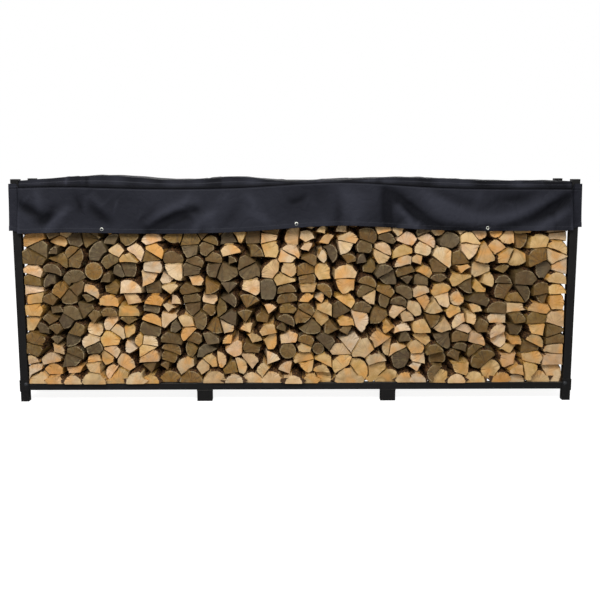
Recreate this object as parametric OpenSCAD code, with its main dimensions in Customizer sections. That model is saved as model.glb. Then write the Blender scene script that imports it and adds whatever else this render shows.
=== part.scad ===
// Covered firewood rack: two welded end frames, long rails joined at two middle
// supports, a load of split logs and a fitted cloth cover.
// Millimetres, +Z up, front towards -Y, origin on the ground under the middle.

/* [Rack] */
// Length over the end posts
rack_length = 3048; // [2400:1:3700]
// Depth over the posts
rack_depth = 355.6; // [320:0.1:420]
// Height of the post tops above the ground
rack_height = 1219.2; // [1000:0.1:1400]
// Width of the square post tube
post_size = 44.45; // [38:0.05:52]
// Wall of the post and crossbar tubes
post_wall = 2.1; // [1.5:0.1:4]
// Outside corner radius of the square tubes
tube_corner = 3.2; // [2.5:0.1:5]
// Height of the middle of the lower crossbars
lower_bar_height = 103; // [90:1:140]
// Distance from the post tops to the middle of the upper crossbars
upper_bar_drop = 100; // [70:1:160]

/* [Rails] */
// Width of the square rail tube
rail_size = 38.1; // [32:0.1:44]
// Wall of the rail tube
rail_wall = 2.1; // [1.5:0.1:4]
// Clear height under the rails
rail_clearance = 63.5; // [55:0.5:90]
// Thickness of the saddle that clasps each post
saddle_wall = 2.5; // [2:0.1:4]
// Height of the saddle
saddle_height = 63.5; // [50:0.5:80]
// Length of the splice sleeve at each middle support
sleeve_length = 84; // [60:1:120]
// Wall of the splice sleeve
sleeve_wall = 2.8; // [2:0.1:4]
// Clearance of every sliding fit
fit_clearance = 0.3; // [0.2:0.05:0.6]

/* [Caps] */
// Thickness of the head of a plastic tube cap
cap_head = 5; // [3:0.5:8]
// Length of the spigot inside the tube
cap_spigot = 18; // [10:1:30]

/* [Cover] */
// Thickness of the cloth
cover_cloth = 2; // [1:0.1:3]
// Height of the cloth over the lowest part of the load, above the post tops
cover_rise = -13; // [-20:1:10]
// Depth of the shoulder between the top of the load and the seam
cover_shoulder = 40; // [25:1:55]
// Drop of the skirt from the seam to the hem
skirt_drop = 232; // [150:1:320]
// Space between the posts and the ends of the cover
cover_end_slack = 10; // [6:1:20]
// How far the end skirts flare outwards at the hem
skirt_flare = 10; // [0:1:20]
// How far the post tops stand out of the corner pockets
post_peek = 24; // [15:1:40]
// Space round each post in the corner pockets
pocket_space = 6; // [4:0.5:10]

/* [Firewood] */
// Number of courses in the stack
course_count = 10; // [8:1:12]
// Layers of logs in one course
course_layers = 2; // [1:1:3]
// Usual width of a log
log_width = 106; // [80:1:150]
// Share of the places that are left out, so that the logs beside them are bigger
spare_share = 0.1; // [0:0.01:0.3]
// How far log ends stray from the face of the rack
end_scatter = 20; // [8:1:30]
// How far the logs beside the posts may stand back from them
post_slack = 6; // [0:1:40]
// Gap between logs that rest against each other
log_gap = 0.4; // [0.2:0.05:0.8]
// Number that picks one stacking pattern
stack_seed = 112; // [1:1:999]

/* [Hidden] */
$fn = 48;

// Frame places
post_x = (rack_length - post_size) / 2;
post_y = (rack_depth - post_size) / 2;
rail_top = rail_clearance + rail_size;
rail_middle = rail_clearance + rail_size / 2;
saddle_reach = fit_clearance + saddle_wall;
sleeve_size = rail_size + 2 * (fit_clearance + sleeve_wall);
support_x = rack_length / 6;
rail_joint_gap = 0.5;
saddle_drop = 6.4;

// Cover places
cover_half_length = rack_length / 2 + cover_end_slack;
load_clearance = 3;
wrap_clearance = 2.5;
cover_half_depth = rack_depth / 2 + end_scatter + load_clearance + cover_cloth;
wrap_half_depth = rack_depth / 2 + wrap_clearance + cover_cloth;
pocket_x = rack_length / 2 - post_size - pocket_space;
pocket_y = rack_depth / 2 - post_size - pocket_space;
shoulder_roll = 0.95;
shoulder_y = cover_half_depth - shoulder_roll * cover_shoulder;
wrap_run = 18;
flap_top = rack_height - post_peek;

// Swells of the load under the cloth: share of half the length, width, height
crest_swells = [[-0.69, 320, 31], [-0.22, 190, 23], [0.37, 380, 20]];
// Lifts of the front and rear seam, in the same form
seam_lifts = [[-0.82, 330, 12], [0.15, 430, 36]];
// Rise of the hem from the middle to the right end, and from a post to the outer edge of its wrap
hem_tilt = 8;
hem_curl = 17;

// Stack places
stack_half = rack_length / 2 - post_size - saddle_reach - log_gap;
column_count = round(2 * stack_half / log_width);
column_pitch = 2 * stack_half / column_count;
layer_count = course_count * course_layers;
stack_floor = rail_top + log_gap / 2;
layer_pitch = (rack_height + cover_rise - cover_cloth - stack_floor) / layer_count;
top_log_inset = cover_half_depth - shoulder_y + end_scatter / 2;
skirt_log_inset = 0.6 * end_scatter;
skirt_courses = ceil((skirt_drop + cover_shoulder) / (layer_pitch * course_layers));
lid_step = 0.6 * column_pitch;
sleeve_bed = 1.5 * column_pitch + sleeve_length / 2;
fresh_share = 0.62;

// Shift of a layer along the rack, and stray of a log along and across its layer, as shares of a place
layer_shift = 0.16;
log_stray = [0.6, 0.6];
// Shares of half rounds, of wedges with the bark up and of wedges with the bark down
half_share = 0.55;
bark_up_share = 0.2;
bark_down_share = 0.13;
// Least and most angle between a split side and the middle of a wedge
wedge_angles = [34, 60];
widest_wedge = 85;
// Least reach of the bark across a log's room, and the part of the rest that it may fill: among the
// other logs, and at least beside a post
bark_shares = [0.78, 0.5, 0.5];
// How far the bark presses past a bearing point
bark_bearing = 1.5;

frame_paint = "#232427";
cap_plastic = "#17181a";
cloth_colour = "#2b2c32";
fresh_wood = "#d2ab78";
grey_wood = "#6d6450";

function course_name(course) = str("log_course_", course < 10 ? "0" : "", course);

// Square tube stock

module rounded_square(width, height, corner) {
    square([width - 2 * corner, height], center = true);
    square([width, height - 2 * corner], center = true);
    for (x = [-1, 1], y = [-1, 1])
        translate([x * (width / 2 - corner), y * (height / 2 - corner)]) circle(r = corner);
}

// A length of tube standing on the ground plane, open at both ends.
module tube(width, height, wall, length) {
    linear_extrude(length)
        difference() {
            rounded_square(width, height, tube_corner);
            rounded_square(width - 2 * wall, height - 2 * wall, max(tube_corner - wall, 0.4));
        }
}

// End frames

module post(side, face) {
    color(frame_paint)
        translate([side * post_x, face * post_y, cap_head])
            tube(post_size, post_size, post_wall, rack_height - 2 * cap_head);
}

module crossbar(side, height) {
    color(frame_paint)
        translate([side * post_x, post_size / 2 - post_y, height])
            rotate([-90, 0, 0])
                tube(post_size, post_size, post_wall, 2 * post_y - post_size);
}

// A push-in cap: a flat head as wide as the tube, and a spigot that fits inside it.
module tube_cap() {
    spigot = post_size - 2 * (post_wall + fit_clearance);
    linear_extrude(cap_head) rounded_square(post_size, post_size, tube_corner);
    translate([0, 0, cap_head])
        linear_extrude(cap_spigot) square(spigot, center = true);
}

module foot_caps() {
    color(cap_plastic)
        for (side = [-1, 1], face = [-1, 1])
            translate([side * post_x, face * post_y, 0]) tube_cap();
}

module post_caps() {
    color(cap_plastic)
        for (side = [-1, 1], face = [-1, 1])
            translate([side * post_x, face * post_y, rack_height])
                rotate([180, 0, 0]) tube_cap();
}

// Rails

module rail_tube(from_x, to_x) {
    translate([from_x, 0, rail_middle])
        rotate([90, 0, 90])
            tube(rail_size, rail_size, rail_wall, to_x - from_x);
}

// A plate folded round the outer, front and inner sides of a post, open towards the crossbar.
module saddle() {
    inside = post_size + 2 * fit_clearance;
    outside = inside + 2 * saddle_wall;
    translate([0, 0, rail_clearance - saddle_drop])
        linear_extrude(saddle_height)
            difference() {
                translate([-outside / 2, -post_size / 2 - saddle_reach])
                    square([outside, post_size + saddle_reach]);
                translate([-inside / 2, -post_size / 2 - fit_clearance])
                    square([inside, post_size + 2 * saddle_reach]);
            }
}

// An outer length of rail, welded into the wall of the saddle that clasps its post.
module end_rail(side, face) {
    color(frame_paint)
        mirror([side > 0 ? 1 : 0, 0, 0]) mirror([0, face > 0 ? 1 : 0, 0])
            translate([0, -post_y, 0]) {
                translate([-post_x, 0, 0]) saddle();
                rail_tube(-post_x + post_size / 2 + saddle_reach - saddle_wall / 2,
                          -support_x - rail_joint_gap / 2);
            }
}

module middle_rail(face) {
    color(frame_paint)
        translate([0, face * post_y, 0])
            rail_tube(-support_x + rail_joint_gap / 2, support_x - rail_joint_gap / 2);
}

// Middle supports

// A splice sleeve round the rail ends, on a wide hollow leg.
module support_leg(side, face) {
    color(frame_paint)
        translate([side * support_x, face * post_y, 0]) {
            translate([-sleeve_length / 2, 0, rail_middle])
                rotate([90, 0, 90])
                    tube(sleeve_size, sleeve_size, sleeve_wall, sleeve_length);
            tube(sleeve_length, sleeve_size, post_wall, rail_middle - sleeve_size / 2);
        }
}

module support_crossbar(side) {
    start = sleeve_size / 2 - post_y;
    color(frame_paint)
        translate([side * support_x, start, rail_middle])
            rotate([-90, 0, 0])
                tube(rail_size, rail_size, rail_wall, -2 * start);
}

// Cover

function swell_height(swells, x, i = 0) =
    i == len(swells) ? 0
    : swells[i][2] * exp(-pow((x - swells[i][0] * rack_length / 2) / swells[i][1], 2))
      + swell_height(swells, x, i + 1);

function crest_height(x) = rack_height + cover_rise + swell_height(crest_swells, x);
function seam_height(x) =
    rack_height + cover_rise - cover_shoulder + swell_height(seam_lifts, x);
function hem_height(x) =
    let (past_post = max(0, (abs(x) - pocket_x) / (rack_length / 2 - pocket_x)))
    seam_height(x) - skirt_drop + hem_tilt * x / (rack_length / 2) + hem_curl * past_post;

// The top is flat over the load and rolls over a quarter ellipse down to the seam.
function shoulder_share(y) =
    abs(y) <= shoulder_y ? 0
    : 1 - sqrt(max(0, 1 - pow((abs(y) - shoulder_y) / (cover_half_depth - shoulder_y), 2)));
function cover_height(x, y) =
    let (crest = crest_height(x))
    crest - (crest - seam_height(x)) * shoulder_share(y);

// Cloth in front of the load, stepping back in a short run to wrap the posts.
function skirt_y(x) =
    let (run = min(1, max(0, (abs(x) - pocket_x) / wrap_run)))
    cover_half_depth + (wrap_half_depth - cover_half_depth) * run;
function skirt_top(x) = abs(x) <= pocket_x + 0.01 ? seam_height(x) - cover_cloth : flap_top;
// The ends flare outwards from the top of the flap, share 1, to the hem, share 0.
function end_x(share) = cover_half_length + skirt_flare * (1 - share);
function end_top(side, y) =
    abs(y) <= pocket_y ? cover_height(side * cover_half_length, y) - cover_cloth : flap_top;

span_steps = 26;
span_x = [for (i = [0 : span_steps]) pocket_x * (2 * i / span_steps - 1)];
wrap_x = [pocket_x + wrap_run, rack_length / 2];
skirt_rows = 4;
shoulder_steps = 4;
half_top_y = concat(
    [pocket_y],
    [for (i = [0 : shoulder_steps])
        shoulder_y + (cover_half_depth - shoulder_y) * sin(90 * i / shoulder_steps)]);
top_y = concat([for (i = [len(half_top_y) - 1 : -1 : 0]) -half_top_y[i]], [0], half_top_y);
top_x = concat([-cover_half_length], span_x, [cover_half_length]);

// A thin closed sheet. Points run in rows and columns with the outer side on the side of
// the product of the row and column directions; cells that are not kept are left open.
module sheet(points, inward, keep) {
    rows = len(points);
    columns = len(points[0]);
    corners = [for (row = points) each row];
    under = rows * columns;
    function at(i, j) = i * columns + j;
    function kept(i, j) = i >= 0 && j >= 0 && i < rows - 1 && j < columns - 1 && keep[i][j];
    faces = [for (i = [0 : rows - 2], j = [0 : columns - 2]) if (kept(i, j))
        let (a = at(i, j), b = at(i, j + 1), c = at(i + 1, j + 1), d = at(i + 1, j))
        each concat(
            [[a, b, c, d], [d + under, c + under, b + under, a + under]],
            kept(i, j - 1) ? [] : [[a, d, d + under, a + under]],
            kept(i, j + 1) ? [] : [[c, b, b + under, c + under]],
            kept(i - 1, j) ? [] : [[b, a, a + under, b + under]],
            kept(i + 1, j) ? [] : [[d, c, c + under, d + under]])];
    polyhedron(points = concat(corners, [for (p = corners) p + inward]), faces = faces);
}

function keep_all(points) = [for (row = points) [for (p = row) true]];

// The top panel, notched at its corners for the posts.
module cover_top() {
    points = [for (x = top_x) [for (y = top_y) [x, y, cover_height(x, y)]]];
    keep = [for (i = [0 : len(top_x) - 2]) [for (j = [0 : len(top_y) - 2])
        (i > 0 && i < len(top_x) - 2) || abs(top_y[j] + top_y[j + 1]) / 2 < pocket_y]];
    color(cloth_colour) sheet(points, [0, 0, -cover_cloth], keep);
}

// A long skirt from the left wrap to the right one, seen with its outer side to the front.
module cover_skirt() {
    inner_x = concat([for (i = [1, 0]) -wrap_x[i]], span_x, wrap_x);
    last = len(inner_x) + 1;
    points = [for (i = [0 : last])
        let (x = inner_x[min(max(i - 1, 0), last - 2)])
        [for (row = [0 : skirt_rows])
            let (share = row / skirt_rows,
                 edge = end_x(share) - cover_cloth,
                 low = hem_height(x))
            [i == 0 ? -edge : i == last ? edge : x,
             -skirt_y(x),
             low + (skirt_top(x) - low) * share]]];
    color(cloth_colour) sheet(points, [0, cover_cloth, 0], keep_all(points));
}

module cover_front() cover_skirt();
module cover_rear() mirror([0, 1, 0]) cover_skirt();

// An end skirt, laid out on the left side from the rear corner to the front corner.
module cover_end(side) {
    low = hem_height(side * rack_length / 2);
    end_y = [wrap_half_depth, pocket_y, 0, -pocket_y, -wrap_half_depth];
    points = [for (y = end_y) [for (row = [0 : skirt_rows])
        let (share = row / skirt_rows)
        [-end_x(share), y, low + (end_top(side, y) - low) * share]]];
    color(cloth_colour)
        mirror([side > 0 ? 1 : 0, 0, 0]) sheet(points, [cover_cloth, 0, 0], keep_all(points));
}

// Firewood

function total(list) = list * [for (value = list) 1];
function twice_area(p) = [for (i = [0 : len(p) - 1]) cross(p[i], p[(i + 1) % len(p)])];
function centroid(p) =
    let (parts = twice_area(p), whole = 3 * total(parts))
    [for (k = [0, 1])
        total([for (i = [0 : len(p) - 1]) (p[i][k] + p[(i + 1) % len(p)][k]) * parts[i]]) / whole];

// The part of a convex outline where direction * point is at most limit.
function cut_back(p, direction, limit) =
    [for (i = [0 : len(p) - 1])
        let (a = p[i], b = p[(i + 1) % len(p)],
             over_a = direction * a - limit, over_b = direction * b - limit)
        each concat(over_a <= 0 ? [a] : [],
                    over_a * over_b < 0 ? [a + (b - a) * over_a / (over_a - over_b)] : [])];

// Places of the logs: layers that are shifted along the rack, with each log a little astray.
function log_rands(column, layer) = rands(0, 1, 10, stack_seed + layer * column_count + column);
function shift(layer) = layer_shift * rands(-1, 1, 1, stack_seed + layer)[0];
function site(column, layer) =
    let (r = log_rands(column, layer))
    [(column + 0.5 + shift(layer) + log_stray[0] * (r[0] - 0.5)) * column_pitch - stack_half,
     stack_floor + (layer + 0.5 + log_stray[1] * (r[1] - 0.5)) * layer_pitch];
function taken(column, layer) = log_rands(column, layer)[9] > spare_share;
sites = [for (layer = [0 : layer_count - 1])
    [for (column = [0 : column_count - 1]) taken(column, layer) ? site(column, layer) : undef]];
function near_sites(column, layer) =
    [for (l = [max(0, layer - 4) : min(layer_count - 1, layer + 4)],
          c = [max(0, column - 3) : min(column_count - 1, column + 3)])
        if (sites[l][c] != undef) sites[l][c]];

// Logs over a splice sleeve lie on the sleeve, and the top course carries the cloth.
function bed_height(x) =
    min([for (side = [-1, 1]) abs(x - side * support_x)]) < sleeve_bed
        ? rail_middle + sleeve_size / 2 + log_gap / 2 : stack_floor;
function lid_height(x) =
    min([for (k = [-2 : 2]) crest_height(x + k * lid_step)]) - cover_cloth - log_gap;

// The room each log has: nearer to its own place than to any other.
function keep_nearest(p, own, others, i = 0) =
    i == len(others) ? p
    : others[i] == own ? keep_nearest(p, own, others, i + 1)
    : let (across = (others[i] - own) / norm(others[i] - own))
      keep_nearest(
          cut_back(p, across, across * (others[i] + own) / 2 - log_gap / 2), own, others, i + 1);
function log_room(own, others, slack) =
    let (low = bed_height(own[0]), high = lid_height(own[0]), end = stack_half - slack)
    keep_nearest([[-end, low], [end, low], [end, high], [-end, high]], own, others);

// Each log rests on the nearest log that lies lower, or on the bed. Its bearing points are half
// way to that log, first in the list, and half way to the logs that rest on it.
function lowest(heights) = search(min(heights), heights)[0];
function bearer(own, others) =
    let (lower = concat([[own[0], 2 * bed_height(own[0]) - own[1]]],
                        [for (place = others) if (place[1] < own[1]) place]))
    lower[lowest([for (place = lower) norm(place - own)])];
function bearing_points(own, others) =
    concat([(own + bearer(own, others)) / 2],
           [for (place = others)
               if (place[1] > own[1] && bearer(place, others) == own) (own + place) / 2]);

// Where the heart of the tree lies in a log: at its bearing for the half rounds and wedges that
// have the bark up, at the top corner for a wedge lying on its bark, in the middle of a round.
function heart(p, bearings, kind) =
    kind < half_share + bark_up_share ? bearings[0]
    : kind < half_share + bark_up_share + bark_down_share ? p[lowest([for (corner = p) -corner[1]])]
    : centroid(p);

// The two split sides of a wedge run from its heart past all its bearing points.
function angle_from(lean, way) = acos(min(1, lean * way / norm(lean) / max(norm(way), log_gap)));
function wedge(p, point, bearings, r) =
    let (lean = centroid(p) - point, turn = atan2(lean[1], lean[0]),
         half = max(concat([wedge_angles[0] + (wedge_angles[1] - wedge_angles[0]) * r],
                           [for (b = bearings) if (norm(b - point) > 1) angle_from(lean, b - point)])),
         left = [-sin(turn + half), cos(turn + half)],
         right = [sin(turn - half), -cos(turn - half)])
    half > widest_wedge ? p
    : cut_back(cut_back(p, left, left * point + log_gap), right, right * point + log_gap);

// The bark is round about the heart. It reaches all the bearing points and leaves hollows.
function side_distance(p, i, point) =
    let (along = p[(i + 1) % len(p)] - p[i],
         share = min(1, max(0, (point - p[i]) * along / (along * along))))
    norm(p[i] + share * along - point);
function bark_radius(p, point, bearings, fill) =
    let (near = bark_shares[0] * max([for (i = [0 : len(p) - 1]) side_distance(p, i, point)]),
         far = max([for (corner = p) norm(corner - point)]))
    max(concat([near + (far - near) * fill],
               [for (b = bearings) norm(b - point) + bark_bearing]));

// Logs beside a post are the fuller ones, picked to stand against it.
function beside_post(p) = max([for (corner = p) abs(corner[0])]) >= stack_half - post_slack;
function bark_fill(p, r) =
    beside_post(p) ? bark_shares[2] + (1 - bark_shares[2]) * r : bark_shares[1] * r;

// Logs under the skirt lie back from the cloth, and those of the top course from its shoulder.
function end_inset(course) =
    course == course_count ? top_log_inset
    : course > course_count - skirt_courses ? skirt_log_inset : 0;
function end_stray(course) = course == course_count ? end_scatter / 2 : end_scatter;

module split_log(p, bearings, kind, r, inset, stray) {
    point = heart(p, bearings, kind);
    wedged = kind > half_share && kind < half_share + bark_up_share + bark_down_share;
    front = -rack_depth / 2 + inset + (2 * r[3] - 1) * stray;
    back = rack_depth / 2 - inset + (2 * r[4] - 1) * stray;
    color(r[5] < fresh_share ? fresh_wood : grey_wood)
        translate([0, back, 0])
            rotate([90, 0, 0])
                linear_extrude(back - front)
                    intersection() {
                        polygon(wedged ? wedge(p, point, bearings, r[6]) : p);
                        translate(point) circle(r = bark_radius(p, point, bearings, bark_fill(p, r[7])));
                    }
}

// The logs on the rails and beside the posts are half rounds, with a flat side to the steel.
module log_course(course) {
    for (layer = [(course - 1) * course_layers : course * course_layers - 1],
         column = [0 : column_count - 1])
        if (taken(column, layer)) {
            own = sites[layer][column];
            others = near_sites(column, layer);
            r = log_rands(column, layer);
            p = log_room(own, others, post_slack * r[8]);
            kind = layer == 0 || beside_post(p) ? half_share * r[2] : r[2];
            split_log(p, bearing_points(own, others), kind, r, end_inset(course), end_stray(course));
        }
}

post(-1, -1);  // left_front_post
post(-1, 1);  // left_rear_post
post(1, -1);  // right_front_post
post(1, 1);  // right_rear_post
crossbar(-1, lower_bar_height);  // left_lower_crossbar
crossbar(-1, rack_height - upper_bar_drop);  // left_upper_crossbar
crossbar(1, lower_bar_height);  // right_lower_crossbar
crossbar(1, rack_height - upper_bar_drop);  // right_upper_crossbar
post_caps();
foot_caps();
end_rail(-1, -1);  // front_left_rail
middle_rail(-1);  // front_middle_rail
end_rail(1, -1);  // front_right_rail
end_rail(-1, 1);  // rear_left_rail
middle_rail(1);  // rear_middle_rail
end_rail(1, 1);  // rear_right_rail
support_leg(-1, -1);  // left_support_front_leg
support_leg(-1, 1);  // left_support_rear_leg
support_crossbar(-1);  // left_support_crossbar
support_leg(1, -1);  // right_support_front_leg
support_leg(1, 1);  // right_support_rear_leg
support_crossbar(1);  // right_support_crossbar
cover_top();
cover_front();
cover_rear();
cover_end(-1);  // cover_left_end
cover_end(1);  // cover_right_end
for (course = [1 : course_count])
    log_course(course);
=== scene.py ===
"""Covered firewood rack: a long rack of black square tube, full of split logs, under a fitted cloth cover.

Metres, +Z up, front towards -Y, origin on the ground under the middle of the rack.
"""
import math

import bpy
import numpy as np
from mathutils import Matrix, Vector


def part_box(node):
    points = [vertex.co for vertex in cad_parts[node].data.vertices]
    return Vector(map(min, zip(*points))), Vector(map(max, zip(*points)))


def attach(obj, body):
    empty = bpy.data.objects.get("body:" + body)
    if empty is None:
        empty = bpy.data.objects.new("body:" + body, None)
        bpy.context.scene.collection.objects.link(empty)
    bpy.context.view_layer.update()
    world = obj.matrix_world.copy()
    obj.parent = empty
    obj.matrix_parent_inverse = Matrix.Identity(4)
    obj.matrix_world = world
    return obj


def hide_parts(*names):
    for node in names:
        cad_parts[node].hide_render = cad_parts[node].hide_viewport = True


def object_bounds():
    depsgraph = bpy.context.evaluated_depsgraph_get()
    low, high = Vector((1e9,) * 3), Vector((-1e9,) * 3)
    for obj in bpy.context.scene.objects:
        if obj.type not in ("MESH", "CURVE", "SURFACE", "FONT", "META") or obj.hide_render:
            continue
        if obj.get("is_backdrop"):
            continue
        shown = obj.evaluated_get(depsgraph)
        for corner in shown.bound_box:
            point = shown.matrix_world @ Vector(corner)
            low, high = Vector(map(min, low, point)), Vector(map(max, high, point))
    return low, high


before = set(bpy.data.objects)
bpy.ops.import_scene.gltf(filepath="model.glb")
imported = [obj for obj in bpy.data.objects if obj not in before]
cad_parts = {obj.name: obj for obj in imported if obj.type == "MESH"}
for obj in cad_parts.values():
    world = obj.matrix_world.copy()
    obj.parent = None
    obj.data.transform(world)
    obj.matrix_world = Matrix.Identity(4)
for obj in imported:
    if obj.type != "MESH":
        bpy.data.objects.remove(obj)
cad_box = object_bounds()


# Frame: posts, crossbars, rails and middle supports of square steel tube, sawn to length, welded
# and powder coated satin black. The tubes keep the shape of their solids and take the finish here.
STEEL_ENDINGS = ("post", "crossbar", "rail", "leg")


def linear(red, green, blue):
    """A screen colour, 0 to 255, as the linear colour with alpha that shaders take."""
    screen = np.array([red, green, blue]) / 255
    light = np.where(screen <= 0.04045, screen / 12.92, ((screen + 0.055) / 1.055) ** 2.4)
    return (*light.tolist(), 1.0)


def wire(tree, node, inputs):
    """Sets a node's sockets, each to a plain value or to the output that feeds it."""
    for name, value in inputs.items():
        if isinstance(value, bpy.types.NodeSocket):
            tree.links.new(value, node.inputs[name])
        else:
            node.inputs[name].default_value = value


def add(tree, kind, inputs=None, output=0, **settings):
    """A new shader node with its settings and inputs; returns one of its outputs."""
    node = tree.nodes.new("ShaderNode" + kind)
    for name, value in settings.items():
        setattr(node, name, value)
    wire(tree, node, inputs or {})
    return node.outputs[output]


def calc(tree, operation, *values):
    """One step of arithmetic on values or outputs."""
    return add(tree, "Math", dict(enumerate(values)), operation=operation)


def times(tree, first, second):
    """Two values or outputs multiplied."""
    return calc(tree, "MULTIPLY", first, second)


def plus(tree, first, second):
    """Two values or outputs added."""
    return calc(tree, "ADD", first, second)


def mix(tree, share, first, second, mode="MIX"):
    """Two colours mixed by a share."""
    return add(tree, "Mix", {0: share, 6: first, 7: second}, output=2, data_type="RGBA", blend_type=mode)


def span(tree, value, low, high, to_low=0.0, to_high=1.0):
    """A value taken from one range to another, held at the ends."""
    return add(tree, "MapRange", {0: value, 1: low, 2: high, 3: to_low, 4: to_high})


def noise(tree, place, scale, detail=3.0, roughness=0.5):
    """Cloudy noise about 1 / scale metres wide, from 0 to 1."""
    return add(tree, "TexNoise", {"Vector": place, "Scale": scale, "Detail": detail, "Roughness": roughness})


def stretched(tree, place, factors):
    """A place with each axis multiplied, to draw a pattern out along the smallest factor."""
    return add(tree, "VectorMath", {0: place, 1: factors}, operation="MULTIPLY")


def new_finish(name, **settings):
    """A material with its node tree and its Principled shader, whose plain sockets are set here."""
    finish = bpy.data.materials.new(name)
    finish.use_nodes = True
    shader = finish.node_tree.nodes["Principled BSDF"]
    for socket, value in settings.items():
        shader.inputs[socket.replace("_", " ")].default_value = value
    return finish, finish.node_tree, shader


def new_group(name, inputs, outputs):
    """A shader node group with named sockets; returns the group, what it is given and its output node."""
    group = bpy.data.node_groups.new(name, "ShaderNodeTree")
    for socket, kind in inputs.items():
        group.interface.new_socket(socket, in_out="INPUT", socket_type="NodeSocket" + kind)
    for socket, kind in outputs.items():
        group.interface.new_socket(socket, in_out="OUTPUT", socket_type="NodeSocket" + kind)
    return group, group.nodes.new("NodeGroupInput").outputs, group.nodes.new("NodeGroupOutput")


def use_group(tree, group, inputs, output):
    """One output of a group placed in a material."""
    node = tree.nodes.new("ShaderNodeGroup")
    node.node_tree = group
    wire(tree, node, inputs)
    return node.outputs[output]


def object_place(tree):
    """The place of a point in the rack's own frame."""
    return add(tree, "TexCoord", output="Object")


def raised(tree, height, strength, distance):
    """The normal of a surface that a height raises, at a strength, by a distance."""
    return add(tree, "Bump", {"Height": height, "Strength": strength, "Distance": distance})


def new_effect(name):
    """A group for an effect that finishes share: from a place and an amount it gives a mask."""
    return new_group(name, {"Place": "Vector", "Amount": "Float"}, {"Mask": "Float"})


def mask_of(tree, effect, place, amount):
    """How much of a shared effect lies at each place."""
    return use_group(tree, effect, {"Place": place, "Amount": amount}, "Mask")


def settled_dust():
    """Dust: patches on what faces up, thinning with the slope, broken up by two sizes of cloud."""
    group, given, result = new_effect("settled_dust")
    facing = add(group, "SeparateXYZ", {0: add(group, "NewGeometry", output="Normal")}, output="Z")
    level = span(group, facing, 0.35, 0.95)
    clouds = times(group, noise(group, given["Place"], 9, 4), noise(group, given["Place"], 160, 2))
    lying = times(group, level, span(group, clouds, 0.12, 0.42))
    wire(group, result, {"Mask": times(group, lying, given["Amount"])})
    return group


def handling_scuffs():
    """Scuffs: thin streaks where the crests of a drawn-out noise pass a limit, in a few wide areas."""
    group, given, result = new_effect("handling_scuffs")
    streaks = noise(group, stretched(group, given["Place"], (60, 60, 420)), 1, 2)
    areas = span(group, noise(group, given["Place"], 4.5, 3), 0.5, 0.66)
    rubbed = times(group, span(group, streaks, 0.62, 0.74), areas)
    wire(group, result, {"Mask": times(group, rubbed, given["Amount"])})
    return group


dust = settled_dust()
scuffs = handling_scuffs()


def powder_coat():
    """Satin black: slow clouds in colour and gloss, an orange peel, worn streaks and a little dust."""
    finish, tree, shader = new_finish("satin_black_powder_coat", Specular_IOR_Level=0.2)
    place = object_place(tree)
    clouds = noise(tree, place, 5, 4)
    coat = mix(tree, clouds, linear(12, 11, 11), linear(18, 17, 17))
    wear_and_fold_shade = mask_of(tree, scuffs, place, 0.5)
    dusty = mask_of(tree, dust, place, 0.25)
    coat = mix(tree, wear_and_fold_shade, coat, linear(58, 56, 54))
    coat = mix(tree, dusty, coat, linear(128, 118, 104))
    gloss = plus(tree, span(tree, clouds, 0.3, 0.7, 0.4, 0.52), times(tree, dusty, 0.4))
    peel = raised(tree, noise(tree, place, 620, 1), 0.18, 0.0006)
    wire(tree, shader, {"Base Color": coat, "Roughness": gloss, "Normal": peel})
    return finish


powder_coated = powder_coat()
for name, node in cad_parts.items():
    if name.endswith(STEEL_ENDINGS):
        node.data.materials.clear()
        node.data.materials.append(powder_coated)


# Caps: moulded plastic plugs pushed into the open ends of the posts, flat heads on top and under
# the feet. They keep the shape of their solids and take a matte, finely grained black.
CAP_NODES = ("post_caps", "foot_caps")


def cap_plastic():
    """Matte moulded plastic: fine spark grain, faint clouds, dust and scuffs on what is handled."""
    finish, tree, shader = new_finish("matte_cap_plastic", Specular_IOR_Level=0.25)
    place = object_place(tree)
    clouds = noise(tree, place, 30, 3)
    body = mix(tree, clouds, linear(17, 17, 18), linear(25, 25, 26))
    body = mix(tree, mask_of(tree, scuffs, place, 0.4), body, linear(92, 91, 90))
    body = mix(tree, mask_of(tree, dust, place, 0.5), body, linear(120, 112, 100))
    gloss = span(tree, clouds, 0.3, 0.7, 0.58, 0.72)
    grain = raised(tree, noise(tree, place, 1500, 2), 0.25, 0.0004)
    wire(tree, shader, {"Base Color": body, "Roughness": gloss, "Normal": grain})
    return finish


moulded = cap_plastic()
for name in CAP_NODES:
    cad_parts[name].data.materials.clear()
    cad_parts[name].data.materials.append(moulded)


# Weld beads: rippled fillets of weld metal round the ends of the crossbars, round each rail where it
# meets its saddle, and round each leg under its sleeve. They are laid before the powder coat.
BEAD_RADIUS = 0.0024
BEAD_STEP = 0.0016
BEAD_SIDES = 6
RIPPLE_PITCH = 0.0042
RIPPLE_DEPTH = 0.16
# How far the crown of a ripple runs ahead of its edges, in radians
RIPPLE_LEAN = 0.9
# Corner radius of the tubes, and the steps that its four arcs take together
TUBE_CORNER = 0.0032
CORNER_STEPS = 64


def grid_faces(rows, columns, wrap_rows=False, wrap_columns=False):
    """Quads between neighbours on a grid of points, numbered row by row, joined up where it wraps."""
    row = np.arange(rows if wrap_rows else rows - 1)[:, None]
    column = np.arange(columns if wrap_columns else columns - 1)[None, :]
    next_row = (row + 1) % rows
    next_column = (column + 1) % columns
    corners = (row * columns + column, row * columns + next_column,
               next_row * columns + next_column, next_row * columns + column)
    return np.stack(corners, axis=-1).reshape(-1, 4)


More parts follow.
